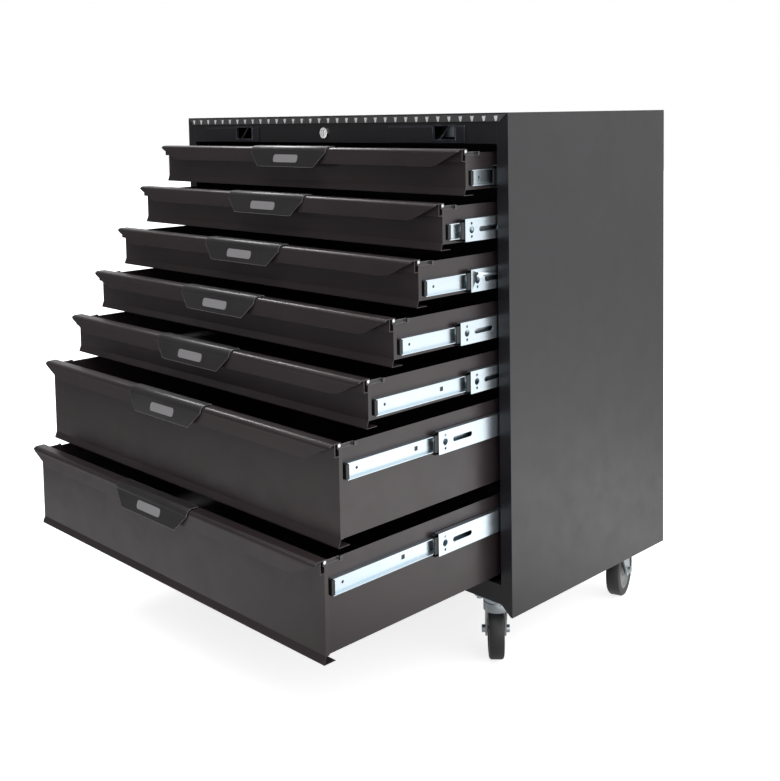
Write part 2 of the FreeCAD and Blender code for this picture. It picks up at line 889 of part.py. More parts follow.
def handle():
    nose_y = "panel_y - nose_reach - foot_flare"
    inner_radius = "(nose_radius - handle_sheet)"
    back = "box_front_y - handle_back_gap"
    corners = [
        (back, "0"),
        (f"{nose_y} + nose_radius", "0", "nose_radius"),
        (nose_y, "-nose_radius"),
        (nose_y, "-flap_drop"),
        (f"{nose_y} + handle_sheet", "-flap_drop"),
        (f"{nose_y} + handle_sheet", "-nose_radius", f"-{inner_radius}"),
        (f"{nose_y} + nose_radius", "-handle_sheet"),
        ("panel_y - base_reach", "-handle_sheet"),
        ("panel_y - base_reach", "-base_drop"),
        ("panel_y", "-base_drop"),
        ("panel_y", "-base_drop + handle_sheet"),
        ("panel_y - base_reach + handle_sheet", "-base_drop + handle_sheet"),
        ("panel_y - base_reach + handle_sheet", "-handle_sheet"),
        (back, "-handle_sheet"),
    ]
    profile = pad("YZ_Plane", corners, "2 * half_front")
    flap_front = f"{nose_y} - cut_past"
    flap_back = f"{nose_y} + nose_radius - handle_sheet"
    slant = [
        ("half_front + cut_past", "-flap_corner_top"),
        ("half_front", "-flap_corner_top"),
        ("half_front - flap_corner_width + corner_blend_width", "-flap_drop + corner_blend_height"),
        ("half_front - flap_corner_width", "-flap_drop"),
        ("half_front - flap_corner_width", "-flap_drop - cut_past"),
        ("half_front + cut_past", "-flap_drop - cut_past"),
    ]
    middle = f"({flap_front} + {flap_back}) / 2"
    corner = behind_face(pad("XZ_Plane", slant, f"{flap_back} - ({flap_front})"), middle)
    trimmed = cut(profile, corner, mirror(corner))
    blocks = []
    block_front = "rod_y - rod_radius - rod_setback"
    for near, far in (
        ("half_front - bearing_width", "half_front"),
        ("-half_front", "-half_front + bearing_width"),
    ):
        blocks.append(box(near, far, block_front, back, "-panel_drop", "-handle_sheet"))
    bore = rod(
        "x",
        "rod_radius + bearing_clearance",
        "-half_front - handle_sheet",
        "half_front + handle_sheet",
        "rod_y",
        "-rod_drop",
    )
    slot_front = "rod_y - cap_sheet / 2 - slot_front_clearance"
    slot_back = "rod_y + cap_sheet / 2 + slot_clearance + slide_play"
    slot_half = "cap_width / 2 + slot_clearance"
    slot = box(f"-({slot_half})", slot_half, slot_front, slot_back, "-handle_sheet - cut_past", "cut_past")
    return cut(fuse(trimmed, *blocks), bore, slot)


# Latch: a cap over the handle's nose, hung on a rod whose two arms hook behind the catches

def latch():
    nose_y = "panel_y - nose_reach - foot_flare"
    outer_radius = "nose_radius + cap_gap + cap_sheet"
    inner_radius = "nose_radius + cap_gap"
    outer_y = f"{nose_y} - cap_gap - cap_sheet"
    inner_y = f"{nose_y} - cap_gap"
    corners = [
        ("rod_y + cap_sheet / 2", "-rod_drop + rod_radius / 2"),
        ("rod_y + cap_sheet / 2", "cap_gap + cap_sheet"),
        (f"{nose_y} + nose_radius", "cap_gap + cap_sheet", outer_radius),
        (outer_y, "-nose_radius"),
        (f"{outer_y} - cap_flare", "-cap_drop"),
        (f"{inner_y} - cap_flare", "-cap_drop"),
        (inner_y, "-nose_radius", f"-({inner_radius})"),
        (f"{nose_y} + nose_radius", "cap_gap"),
        ("rod_y - cap_sheet / 2", "cap_gap"),
        ("rod_y - cap_sheet / 2", "-rod_drop + rod_radius / 2"),
    ]
    cap = pad("YZ_Plane", corners, "cap_width")
    tapers = []
    for sign in ("", "-"):
        tapers.append(
            [
                (f"{sign}(cap_width / 2)", "-nose_radius"),
                (f"{sign}(cap_width / 2 + cap_taper)", "-nose_radius"),
                (f"{sign}(cap_width / 2 + cap_taper)", "-cap_drop - cap_taper"),
                (f"{sign}(cap_width / 2 - cap_taper)", "-cap_drop - cap_taper"),
                (f"{sign}(cap_width / 2 - cap_taper)", "-cap_drop"),
            ]
        )
    pocket(cap, "XZ_Plane", *tapers)
    pieces = [cap, rod("x", "rod_radius", "-half_front", "half_front", "rod_y", "-rod_drop")]
    arm = "half_box + arm_gap"
    arm_out = f"{arm} + arm_sheet"
    nose_out = f"{arm_out} + nose_overlap"
    arm_low = "-arm_top_drop - arm_height"
    for near, far, nose_far in (
        (arm, arm_out, nose_out),
        (f"-({arm_out})", f"-({arm})", f"-({nose_out})"),
    ):
        neck_z = "-rod_drop - rod_radius"
        pieces.append(box(near, far, "rod_y", "rod_y + rod_radius + rod_diameter", neck_z, "-rod_drop"))
        pieces.append(box(near, far, "rod_y + rod_radius - slide_play", "arm_end_y", arm_low, "-arm_top_drop"))
        x0, x1 = (near, nose_far) if nose_far == nose_out else (nose_far, far)
        pieces.append(box(x0, x1, "arm_end_y - nose_plate", "arm_end_y", arm_low, "-arm_top_drop"))
    return fuse(*pieces)


for n in DRAWERS:
    sub_part(f"drawer_{n}_box", in_drawer(drawer_box(n), n))
    sub_part(f"drawer_{n}_handle", in_drawer(handle(), n))
    sub_part(f"drawer_{n}_latch", in_drawer(latch(), n))
    sub_part(f"drawer_{n}_inner_slides", inner_slides(n))
    sub_part(f"drawer_{n}_middle_slides", middle_slides(n))

# Lock: a plug that turns in a barrel pushes a link behind the top rail, and the link lifts a bar
# whose lugs then stand behind the drawer fronts

def lock_rod(radius, start, end):
    return rod("y", radius, start, end, lock_x, "lock_z")


barrel = cut(
    fuse(
        lock_rod("barrel_diameter / 2", "-flange_height", "barrel_length"),
        lock_rod("flange_diameter / 2", "-flange_height", "0"),
        lock_rod("nut_diameter / 2", "wall_sheet", "wall_sheet + nut_height"),
    ),
    lock_rod("plug_diameter / 2 + plug_fit", "-flange_height - cut_past", "barrel_length + cut_past"),
)
sub_part("lock_barrel", in_carcass(barrel))

FORMULAS["cam_front"] = "barrel_length + cam_gap"
FORMULAS["link_front"] = "lock_bar_y - slide_play - link_sheet"
FORMULAS["crank_half"] = "link_throw / 2"
key_slot = box(
    f"{lock_x} - key_slot / 2",
    f"{lock_x} + key_slot / 2",
    "-flange_height - cut_past",
    "-flange_height + key_slot_depth",
    "lock_z - key_slot_height / 2",
    "lock_z + key_slot_height / 2",
)
crank_pin = rod(
    "y",
    "pin_diameter / 2",
    "cam_front",
    "link_front + link_sheet",
    f"{lock_x} - crank_half",
    "lock_z + crank_half",
)
plug = fuse(
    cut(lock_rod("plug_diameter / 2", "-flange_height", "cam_front"), key_slot),
    lock_rod("cam_diameter / 2", "cam_front", "cam_front + cam_sheet"),
    crank_pin,
)
sub_part("lock_plug", in_carcass(plug))

link_low = "lock_z - link_height / 2 + link_rise"
FORMULAS["bar_x"] = "half_opening + wall_sheet / 2"
FORMULAS["bar_pin_x"] = "bar_x + bar_width / 2"
link_end = "wall_inside - link_throw - link_side_gap"
crank_slot_half = "(pin_diameter / 2 + pin_clearance)"
crank_slot = [
    (f"{lock_x} - crank_half - {crank_slot_half}", "lock_z + crank_half - crank_slot_below"),
    (f"{lock_x} - crank_half + {crank_slot_half}", "lock_z + crank_half - crank_slot_below"),
    (f"{lock_x} - crank_half + {crank_slot_half}", "lock_z + crank_half + crank_slot_above"),
    (f"{lock_x} - crank_half - {crank_slot_half}", "lock_z + crank_half + crank_slot_above"),
]
run = "sqrt(link_throw ^ 2 + bar_lift ^ 2)"
along_x = f"(link_throw / {run} * (pin_diameter / 2 + pin_clearance))"
along_z = f"(bar_lift / {run} * (pin_diameter / 2 + pin_clearance))"
FORMULAS["pin_z"] = "lock_z - bar_lift / 2"
lift_slot = [
    (f"bar_pin_x + {along_x} - {along_z}", f"pin_z - {along_z} - {along_x}"),
    (f"bar_pin_x + {along_x} + {along_z}", f"pin_z - {along_z} + {along_x}"),
    (f"bar_pin_x - link_throw - {along_x} + {along_z}", f"pin_z + bar_lift + {along_z} + {along_x}"),
    (f"bar_pin_x - link_throw - {along_x} - {along_z}", f"pin_z + bar_lift + {along_z} - {along_x}"),
]
link_corners = [
    (f"{lock_x} - cam_diameter / 2", link_low),
    (link_end, link_low),
    (link_end, f"{link_low} + link_height"),
    (f"{lock_x} - cam_diameter / 2", f"{link_low} + link_height"),
]
link = behind_face(
    pad("XZ_Plane", link_corners, "link_sheet", crank_slot, lift_slot), "link_front + link_sheet / 2"
)
sub_part("lock_link", in_carcass(group(link)))


def lug(n):
    """A lug that stands in the gap below drawer n's front until the bar is lifted."""
    high = f"foot_{n} - lug_gap"
    return box(
        "half_front - lug_reach",
        "bar_x",
        "lock_bar_y",
        "lock_bar_y + bar_sheet",
        f"{high} - lug_height",
        high,
    )


bar = box(
    "bar_x",
    "bar_x + bar_width",
    "lock_bar_y",
    "lock_bar_y + bar_sheet",
    f"foot_{DRAWERS[-1]} - lug_gap - lug_height",
    "lock_z + link_height / 2",
)
bar_pin = rod("y", "pin_diameter / 2", "link_front", "lock_bar_y", "bar_pin_x", "pin_z")
sub_part("lock_bar", in_carcass(group(bar, bar_pin, *[lug(n) for n in DRAWERS])))

# Casters: a screwed plate with its ball race and king pin, a fork with the axle, and the wheel.
# Each is drawn about its swivel axis, with Z from the underside of the floor.

FORMULAS["head_top"] = "-plate_sheet - race_height - race_gap"
FORMULAS["head_bottom"] = "head_top - fork_head_height"
FORMULAS["pin_head_top"] = "head_bottom + king_pin_play + king_pin_head_height"
FORMULAS["axle_z"] = "wheel_diameter / 2 - caster_height - skirt_height"
FORMULAS["leg_inside"] = "wheel_width / 2 + wheel_side_gap"
FORMULAS["leg_outside"] = "leg_inside + fork_sheet"

CORNERS = {
    "front_left": (-1, "caster_inset_front", "-front_turn"),
    "front_right": (1, "caster_inset_front", "front_turn"),
    "rear_left": (-1, "carcass_depth - caster_inset_rear", "-rear_turn"),
    "rear_right": (1, "carcass_depth - caster_inset_rear", "rear_turn"),
}


def caster_x(side):
    return f"{'-' if side < 0 else ''}(half_width - caster_inset_side)"


def in_caster(piece, corner):
    """Swivelled to where the caster has come to rest."""
    side, y, turn = CORNERS[corner]
    bind(piece, x=caster_x(side), y=f"face_y + {y}", z="caster_height + skirt_height")
    piece.Placement.Rotation = FreeCAD.Rotation(FreeCAD.Vector(0, 0, 1), value(turn))
    piece.setExpression("Placement.Rotation.Angle", cells(turn))
    return piece


def caster_plate(corner):
    side, y, turn = CORNERS[corner]
    plate = box(
        "-plate_breadth / 2",
        "plate_breadth / 2",
        "-plate_length / 2",
        "plate_length / 2",
        "-plate_sheet",
        "0",
    )
    race_bottom = "-plate_sheet - race_height"
    pieces = [
        plate,
        rod("z", "race_diameter / 2", race_bottom, "-plate_sheet"),
        rod("z", "king_pin / 2", "head_bottom + king_pin_play", "-plate_sheet"),
        rod("z", "king_pin_head / 2", "head_bottom + king_pin_play", "pin_head_top"),
    ]
    for x_sign in ("", "-"):
        for y_sign in ("", "-"):
            pieces.append(
                rod(
                    "z",
                    "screw_head / 2",
                    "-plate_sheet - screw_head_height",
                    "-plate_sheet",
                    f"{x_sign}(plate_breadth / 2 - screw_inset)",
                    f"{y_sign}(plate_length / 2 - screw_inset)",
                )
            )
    return bind(fuse(*pieces), x=caster_x(side), y=y, z="skirt_height")


def fork():
    """The wheel trails behind the swivel axis, towards the front at no turn."""
    head = rod("z", "fork_head_diameter / 2", "head_bottom", "head_top")
    bore = rod("z", "king_pin / 2 + king_pin_fit", "head_bottom - fork_sheet", "head_top + fork_sheet")
    recess = rod(
        "z",
        "king_pin_head / 2 + king_pin_head_fit",
        "head_bottom - fork_sheet",
        "pin_head_top + king_pin_play",
    )
    tyre_room = rod(
        "x",
        "wheel_diameter / 2 + tyre_clearance",
        "-leg_inside",
        "leg_inside",
        "-trail",
        "axle_z",
    )
    leg_corners = [
        ("-fork_head_diameter / 2", "head_top - fork_sheet"),
        ("-trail - fork_leg_width / 2", "axle_z + fork_tip_chamfer"),
        ("-trail - fork_tip_chamfer", "axle_z - fork_leg_width / 2"),
        ("-trail + fork_tip_chamfer", "axle_z - fork_leg_width / 2"),
        ("-trail + fork_leg_width / 2", "axle_z"),
        ("fork_shoulder", "head_bottom"),
        ("fork_shoulder", "head_top - fork_sheet"),
    ]
    pieces = [cut(head, bore, recess, tyre_room)]
    for side in ("", "-"):
        leg = pad("YZ_Plane", leg_corners, "fork_sheet")
        pieces.append(bind(leg, x=f"{side}(leg_inside + fork_sheet / 2)"))
        start = "leg_outside" if side == "" else "-leg_outside - axle_nut_height"
        pieces.append(rod("x", "nut_across / 2", start, f"{start} + axle_nut_height", "-trail", "axle_z"))
    pieces.append(rod("x", "axle_diameter / 2", "-leg_outside", "leg_outside", "-trail", "axle_z"))
    return fuse(*pieces)


def wheel():
    """A tyre on a hub, turned about the axle."""
    rim = "wheel_diameter / 2 - tyre_depth"
    half = "wheel_width / 2"
    half_hub = "hub_width / 2"
    bore = "axle_diameter / 2 + axle_fit"
    tyre = turned(
        [
            (f"-({half})", rim),
            (half, rim),
            (half, "wheel_diameter / 2 - tyre_crown"),
            (f"{half} - tyre_crown", "wheel_diameter / 2"),
            (f"-({half} - tyre_crown)", "wheel_diameter / 2"),
            (f"-({half})", "wheel_diameter / 2 - tyre_crown"),
        ]
    )
    hub = turned(
        [
            (f"-({half_hub})", bore),
            (half_hub, bore),
            (half_hub, rim),
            (f"-({half_hub})", rim),
        ]
    )
    return bind(group(tyre, hub), y="-trail", z="axle_z")


sub_part("caster_plates", in_carcass(group(*[caster_plate(corner) for corner in CORNERS])))
for corner in CORNERS:
    sub_part(f"caster_{corner}_fork", in_caster(group(fork()), corner))
    sub_part(f"caster_{corner}_wheel", in_caster(group(wheel()), corner))

# Check every object, then write each sub-part to its own file

doc.recompute()
for thing in doc.Objects:
    if "Invalid" in thing.State or "Error" in thing.State:
        raise RuntimeError(f"{thing.Name} failed: {thing.State}")
for name, piece in PARTS.items():
    if piece.Shape.isNull() or not piece.Shape.isValid():
        raise RuntimeError(f"{name} has no valid shape")

os.makedirs("parts", exist_ok=True)
for name, piece in PARTS.items():
    piece.Shape.exportStep(f"parts/{name}.step")
    print(name, len(piece.Shape.Solids), round(piece.Shape.Volume), piece.Shape.BoundBox)
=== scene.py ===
import json
import math

import bmesh
import bpy
from mathutils import Matrix, Vector


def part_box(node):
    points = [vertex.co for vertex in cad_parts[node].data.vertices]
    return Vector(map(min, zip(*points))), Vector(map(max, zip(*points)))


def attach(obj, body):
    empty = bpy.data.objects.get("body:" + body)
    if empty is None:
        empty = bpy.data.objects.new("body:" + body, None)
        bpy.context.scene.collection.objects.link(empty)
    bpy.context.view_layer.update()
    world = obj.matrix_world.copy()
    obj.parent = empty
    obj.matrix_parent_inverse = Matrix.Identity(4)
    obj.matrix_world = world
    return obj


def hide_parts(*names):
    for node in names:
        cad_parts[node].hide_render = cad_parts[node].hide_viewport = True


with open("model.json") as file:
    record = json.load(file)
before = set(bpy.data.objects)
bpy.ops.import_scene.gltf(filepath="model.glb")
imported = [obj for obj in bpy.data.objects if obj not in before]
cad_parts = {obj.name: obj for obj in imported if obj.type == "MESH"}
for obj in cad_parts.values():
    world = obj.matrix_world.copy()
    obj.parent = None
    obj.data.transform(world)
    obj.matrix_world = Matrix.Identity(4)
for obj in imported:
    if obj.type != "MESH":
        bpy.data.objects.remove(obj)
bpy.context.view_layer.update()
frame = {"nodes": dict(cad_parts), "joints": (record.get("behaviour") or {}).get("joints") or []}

# Carcass: two side panels, a back, a floor with its front rail and the uprights that carry the
# slides, all folded from sheet steel, spot welded together and powder coated satin black.
nodes = frame["nodes"]
millimetre = 0.001
weld_distance = 0.01 * millimetre
flat_angle = math.radians(1)
fold_angle = math.radians(35)
relief_depth = 0.2 * millimetre
coat_wear_and_highlight_width = 0.9 * millimetre
coat_refraction = 1.55
satin_black = (0.0125, 0.0118, 0.0145, 1)
satin_roughness = 0.36


def start_finish(name):
    """A new material, its nodes, and its shader."""
    material = bpy.data.materials.new(name)
    material.use_nodes = True
    tree = material.node_tree
    return material, tree, tree.nodes["Principled BSDF"]


def add_node(tree, kind, settings=(), **inputs):
    """A shader node whose inputs are numbers, colours or other nodes' outputs.

    An input goes by its name, or by its number after an underscore where names repeat.
    """
    made = tree.nodes.new("ShaderNode" + kind)
    for key, setting in settings:
        setattr(made, key, setting)
    for key, given in inputs.items():
        number = key[1:]
        socket = made.inputs[int(number) if number.isdigit() else key.replace("_", " ")]
        if isinstance(given, bpy.types.NodeSocket):
            tree.links.new(given, socket)
        else:
            socket.default_value = given
    return made


def reckon(tree, operation, *operands):
    """One step of arithmetic on one or two numbers."""
    sockets = {f"_{k}": operand for k, operand in enumerate(operands)}
    return add_node(tree, "Math", [("operation", operation)], **sockets).outputs["Value"]


def reach_along(tree, vector, direction):
    """How far a vector reaches along a direction."""
    return add_node(
        tree, "VectorMath", [("operation", "DOT_PRODUCT")], _0=vector, _1=direction
    ).outputs["Value"]


def place_on_piece(tree, scale=(1, 1, 1)):
    """Where a point of the piece lies, in metres, stretched by the scale."""
    place = add_node(tree, "TexCoord").outputs["Object"]
    return add_node(tree, "Mapping", Vector=place, Scale=scale).outputs["Vector"]


def grain(tree, place, fineness, detail, roughness=0.55):
    """Noise between 0 and 1, with this many cells to the metre."""
    return add_node(
        tree, "TexNoise", Vector=place, Scale=fineness, Detail=detail, Roughness=roughness
    ).outputs["Fac"]


def spread(tree, factor, low=0.0, high=1.0, start=0.3, end=0.7):
    """Maps a factor from start..end to low..high."""
    return add_node(
        tree, "MapRange", Value=factor, From_Min=start, From_Max=end, To_Min=low, To_Max=high
    ).outputs["Result"]


def blend_colours(tree, factor, first, second):
    """The first colour where the factor is 0, and the second where it is 1."""
    return add_node(
        tree, "Mix", [("data_type", "RGBA")], _0=factor, _6=first, _7=second
    ).outputs[2]


def edge_mask(tree, width):
    """1 along folds and edges to about this width, and 0 on flat sheet."""
    rounded = add_node(tree, "Bevel", [("samples", 4)], Radius=width).outputs["Normal"]
    square = add_node(tree, "NewGeometry").outputs["Normal"]
    return spread(
        tree, reach_along(tree, rounded, square), low=1.0, high=0.0, start=0.8, end=0.995
    )


def shade_of(colour, share):
    """A darker or lighter shade of a colour."""
    return [channel * share for channel in colour[:3]] + [1]


def join_finish(tree, shader, colour, roughness, relief, strength):
    """Gives the shader its colour, its roughness, and its relief at this strength."""
    bump = add_node(tree, "Bump", Height=relief, Strength=strength, Distance=relief_depth)
    tree.links.new(colour, shader.inputs["Base Color"])
    tree.links.new(roughness, shader.inputs["Roughness"])
    tree.links.new(bump.outputs["Normal"], shader.inputs["Normal"])


def powder_coat(name, colour, edge_wear_and_highlight, roughness):
    """Satin powder coat with fine orange peel, faint cloudiness, and worn edges with a painted
    highlight.
    """
    material, tree, shader = start_finish(name)
    place = place_on_piece(tree)
    cloud = grain(tree, place, fineness=7.0, detail=4.0)
    peel = grain(tree, place, fineness=900.0, detail=2.0)
    wear_and_highlight_patches = grain(tree, place, fineness=60.0, detail=5.0)
    haze = grain(tree, place, fineness=26.0, detail=5.0)
    clouded = blend_colours(tree, spread(tree, cloud), shade_of(colour, 0.86), shade_of(colour, 1.16))
    # The edges are lightened in patches: partly wear, partly a painted highlight where folds catch
    # light.
    worn_and_highlit_edges = reckon(
        tree,
        "MULTIPLY",
        edge_mask(tree, coat_wear_and_highlight_width),
        spread(tree, wear_and_highlight_patches, low=0.15, high=1.0, start=0.4, end=0.62),
    )
    join_finish(
        tree,
        shader,
        colour=blend_colours(tree, worn_and_highlit_edges, clouded, edge_wear_and_highlight),
        roughness=spread(tree, haze, low=roughness - 0.05, high=roughness + 0.06),
        relief=peel,
        strength=0.12,
    )
    shader.inputs["IOR"].default_value = coat_refraction
    return material


def soften(name, finish, fold, segments=2):
    """Rounds a piece's sharp folds by this many millimetres, and gives the piece its finish."""
    piece = nodes[name]
    weld = piece.modifiers.new("Joined", "WELD")
    weld.merge_threshold = weld_distance
    flat = piece.modifiers.new("Flat", "DECIMATE")
    flat.decimate_type = "DISSOLVE"
    flat.angle_limit = flat_angle
    edge = piece.modifiers.new("Edge", "BEVEL")
    edge.width = fold * millimetre
    edge.segments = segments
    edge.limit_method = "ANGLE"
    edge.angle_limit = fold_angle
    piece.data.materials.clear()
    piece.data.materials.append(finish)


# Its lighter edges are partly wear and partly a painted highlight.
carcass_coat = powder_coat(
    "carcass_coat", satin_black, edge_wear_and_highlight=(0.07, 0.07, 0.076, 1), roughness=satin_roughness
)
for name in ("left_side_panel", "right_side_panel", "back_panel", "bottom_panel", "slide_uprights"):
    soften(name, carcass_coat, fold=0.4)

# Top: a flat steel sheet with a low edge all round, and under it the folded rail that holds the
# lock, both powder coated like the carcass and welded to its sides.
# The top's coat has a brighter painted highlight along its edges, with some wear.
top_coat = powder_coat(
    "top_coat", satin_black, edge_wear_and_highlight=(0.2, 0.2, 0.21, 1), roughness=satin_roughness
)
soften("top_panel", top_coat, fold=0.5)
soften("top_rail", carcass_coat, fold=0.5)

# Trim across the top edge: a bright anodised strip seen through the tooth-shaped windows of a
# dark moulded one, both pushed on from the front.


def moulded(name, colour, roughness, fineness=1400.0):
    """Moulded plastic with a fine leather-like grain."""
    material, tree, shader = start_finish(name)
    place = place_on_piece(tree)
    cloud = grain(tree, place, fineness=12.0, detail=4.0)
    fine = grain(tree, place, fineness=fineness, detail=2.0)
    clouded = blend_colours(tree, spread(tree, cloud), shade_of(colour, 0.85), shade_of(colour, 1.15))
    join_finish(
        tree,
        shader,
        colour=clouded,
        roughness=spread(tree, fine, low=roughness - 0.05, high=roughness + 0.07),
        relief=fine,
        strength=0.2,
    )
    return material


def brushed(name, colour, roughness, stretch, cooler_by=(0.06, 0.02), metallic=1.0):
    """Bare or plated metal with fine streaks; stretch is small along the streaks."""
    material, tree, shader = start_finish(name)
    streaks = grain(tree, place_on_piece(tree, stretch), fineness=1.0, detail=4.0, roughness=0.6)
    cloud = grain(tree, place_on_piece(tree), fineness=22.0, detail=3.0)
    red, green, blue, alpha = colour
    cooler = (red * (1 - cooler_by[0]), green * (1 - cooler_by[1]), blue, alpha)
    join_finish(
        tree,
        shader,
        colour=blend_colours(tree, spread(tree, cloud), cooler, colour),
        roughness=spread(tree, streaks, low=roughness - 0.04, high=roughness + 0.05),
        relief=streaks,
        strength=0.04,
    )
    shader.inputs["Metallic"].default_value = metallic
    return material


bright_strip = brushed(
    "bright_strip", colour=(0.9, 0.9, 0.91, 1), roughness=0.42, stretch=(30, 900, 900), metallic=0.25
)
dark_strip = moulded("dark_strip", colour=(0.075, 0.073, 0.077, 1), roughness=0.42)
soften("trim_strip", bright_strip, fold=0.1, segments=1)
soften("edge_trim", dark_strip, fold=0.2)

# Accessory plates: two raised steel plates riveted on the top rail, each with a rimmed window and
# a hook across it, coated like the carcass, with a bluish painted highlight along the rims.
# The light bluish edge colour is a painted highlight along the rims and edges.
rim_coat = powder_coat(
    "rim_coat", colour=(0.0125, 0.0118, 0.0155, 1), edge_wear_and_highlight=(0.3, 0.36, 0.46, 1), roughness=0.36
)
soften("accessory_plates", rim_coat, fold=0.3)

# Slides: three rolled members each, bright zinc plated. The outer one is screwed to the uprights,
# the middle one rides in it on balls and the inner one is screwed to the drawer.
drawer_count = 7
drawers = range(1, drawer_count + 1)
slide_fold = 0.25
zinc = brushed("zinc", colour=(0.66, 0.74, 0.79, 1), roughness=0.3, stretch=(260, 6, 260))
soften("outer_slides", zinc, fold=slide_fold, segments=1)
for n in drawers:
    soften(f"drawer_{n}_middle_slides", zinc, fold=slide_fold, segments=1)
    soften(f"drawer_{n}_inner_slides", zinc, fold=slide_fold, segments=1)

# Ball rows: hardened steel balls pressed into the cages of the middle members, where each stands
# a little out of its cage. A pair of members has four rows on the inside and four on the outside.
ball_pitch = 4.2 * millimetre
ball_radius = 1.7 * millimetre
ball_segments = 8
ball_rings = 6
cage_depth = 4.7 * millimetre
inner_row_height = 15.0 * millimetre
inner_row_ends = (6 * millimetre, 178 * millimetre)
outer_row_height = 19.6 * millimetre
outer_row_ends = (196 * millimetre, 395 * millimetre)


def slide_head(name):
    """A pair of slide members' outer face, front end and middle height."""
    low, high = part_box(name)
    return high.x, low.y, (low.z + high.z) / 2


def new_piece(name, corners, faces, *finishes):
    """A mesh of these corners and faces, with its finishes."""
    mesh = bpy.data.meshes.new(name)
    mesh.from_pydata(corners, [], faces)
    for finish in finishes:
        mesh.materials.append(finish)
    mesh.update()
    piece = bpy.data.objects.new(name, mesh)
    bpy.context.scene.collection.objects.link(piece)
    return piece


def ball_tree(finish):
    """A node tree that sets balls at an even pitch along each edge of a mesh."""
    tree = bpy.data.node_groups.new("Balls along rows", "GeometryNodeTree")
    tree.is_modifier = True
    interface = tree.interface
    interface.new_socket("Rows", in_out="INPUT", socket_type="NodeSocketGeometry")
    pitch = interface.new_socket("Ball pitch", in_out="INPUT", socket_type="NodeSocketFloat")
    radius = interface.new_socket("Ball radius", in_out="INPUT", socket_type="NodeSocketFloat")
    interface.new_socket("Balls", in_out="OUTPUT", socket_type="NodeSocketGeometry")
    given = tree.nodes.new("NodeGroupInput")
    result = tree.nodes.new("NodeGroupOutput")
    rows = tree.nodes.new("GeometryNodeMeshToCurve")
    steps = tree.nodes.new("GeometryNodeResampleCurve")
    steps.mode = "LENGTH"
    ball = tree.nodes.new("GeometryNodeMeshUVSphere")
    ball.inputs["Segments"].default_value = ball_segments
    ball.inputs["Rings"].default_value = ball_rings
    placed = tree.nodes.new("GeometryNodeInstanceOnPoints")
    real = tree.nodes.new("GeometryNodeRealizeInstances")
    smooth = tree.nodes.new("GeometryNodeSetShadeSmooth")
    finished = tree.nodes.new("GeometryNodeSetMaterial")
    finished.inputs["Material"].default_value = finish
    for start, end in (
        (given.outputs["Rows"], rows.inputs["Mesh"]),
        (rows.outputs["Curve"], steps.inputs["Curve"]),
        (given.outputs["Ball pitch"], steps.inputs["Length"]),
        (steps.outputs["Curve"], placed.inputs["Points"]),
        (given.outputs["Ball radius"], ball.inputs["Radius"]),
        (ball.outputs["Mesh"], placed.inputs["Instance"]),
        (placed.outputs["Instances"], real.inputs["Geometry"]),
        (real.outputs["Geometry"], smooth.inputs["Geometry"]),
        (smooth.outputs["Geometry"], finished.inputs["Geometry"]),
        (finished.outputs["Geometry"], result.inputs["Balls"]),
    ):
        tree.links.new(start, end)
    return tree, pitch.identifier, radius.identifier


ball_steel = brushed(
    "ball_steel", colour=(0.8, 0.8, 0.8, 1), roughness=0.15, stretch=(300, 300, 300), cooler_by=(0, 0)
)
balls_on_rows, pitch_socket, radius_socket = ball_tree(ball_steel)
for n in drawers:
    face_x, head_y, centre_z = slide_head(f"drawer_{n}_middle_slides")
    row_x = face_x - cage_depth
    ends = []
    for side in (-1, 1):
        for height, row_ends in (
            (inner_row_height, inner_row_ends),
            (outer_row_height, outer_row_ends),
        ):
            for sign in (-1, 1):
                for along in row_ends:
                    ends.append((side * row_x, head_y + along, centre_z + sign * height))
    mesh = bpy.data.meshes.new("ball_rows")
    mesh.from_pydata(ends, [(k, k + 1) for k in range(0, len(ends), 2)], [])
    rows = bpy.data.objects.new("ball_rows", mesh)
    bpy.context.scene.collection.objects.link(rows)
    modifier = rows.modifiers.new("Balls", "NODES")
    modifier.node_group = balls_on_rows
    modifier[pitch_socket] = ball_pitch
    modifier[radius_socket] = ball_radius
    evaluated = rows.evaluated_get(bpy.context.evaluated_depsgraph_get())
    plain = bpy.data.meshes.new_from_object(evaluated)
    plain.name = f"slide_{n}_balls"
    balls = bpy.data.objects.new(f"slide_{n}_balls", plain)
    bpy.context.scene.collection.objects.link(balls)
    bpy.data.objects.remove(rows)
    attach(balls, f"middle_{n}")

# Ball retainers: a black moulded plate clipped in front of each middle member's head, with a bar
# above and one below that go into its inner cages.
retainer_inner = 3.2 * millimetre
retainer_outer = 1.3 * millimetre
retainer_ahead = 8 * millimetre
retainer_behind = 3 * millimetre
retainer_height = 16.9 * millimetre
bar_inner = 9.2 * millimetre
bar_height = 13.1 * millimetre
block_fold = 0.3 * millimetre
block_faces = (
    (0, 1, 3, 2),
    (4, 6, 7, 5),
    (0, 4, 5, 1),
    (2, 3, 7, 6),
    (0, 2, 6, 4),
    (1, 5, 7, 3),
)


def blocks(name, boxes, finish):
    """Blocks between pairs of low and high corners, as one mesh with rounded edges."""
    corners = []
    faces = []
    for low, high in boxes:
        first = len(corners)
        for x in (low[0], high[0]):
            for y in (low[1], high[1]):
                corners += [(x, y, low[2]), (x, y, high[2])]
        faces += [tuple(first + corner for corner in face) for face in block_faces]
    piece = new_piece(name, corners, faces, finish)
    edge = piece.modifiers.new("Edge", "BEVEL")
    edge.width = block_fold
    edge.segments = 2
    return piece


def both_sides(across, along, heights):
    """A block on the right and its mirrored twin on the left, between these pairs of places."""
    inner_x, outer_x = across
    front_y, back_y = along
    low_z, high_z = heights
    right_block = ((inner_x, front_y, low_z), (outer_x, back_y, high_z))
    left_block = ((-outer_x, front_y, low_z), (-inner_x, back_y, high_z))
    return [right_block, left_block]


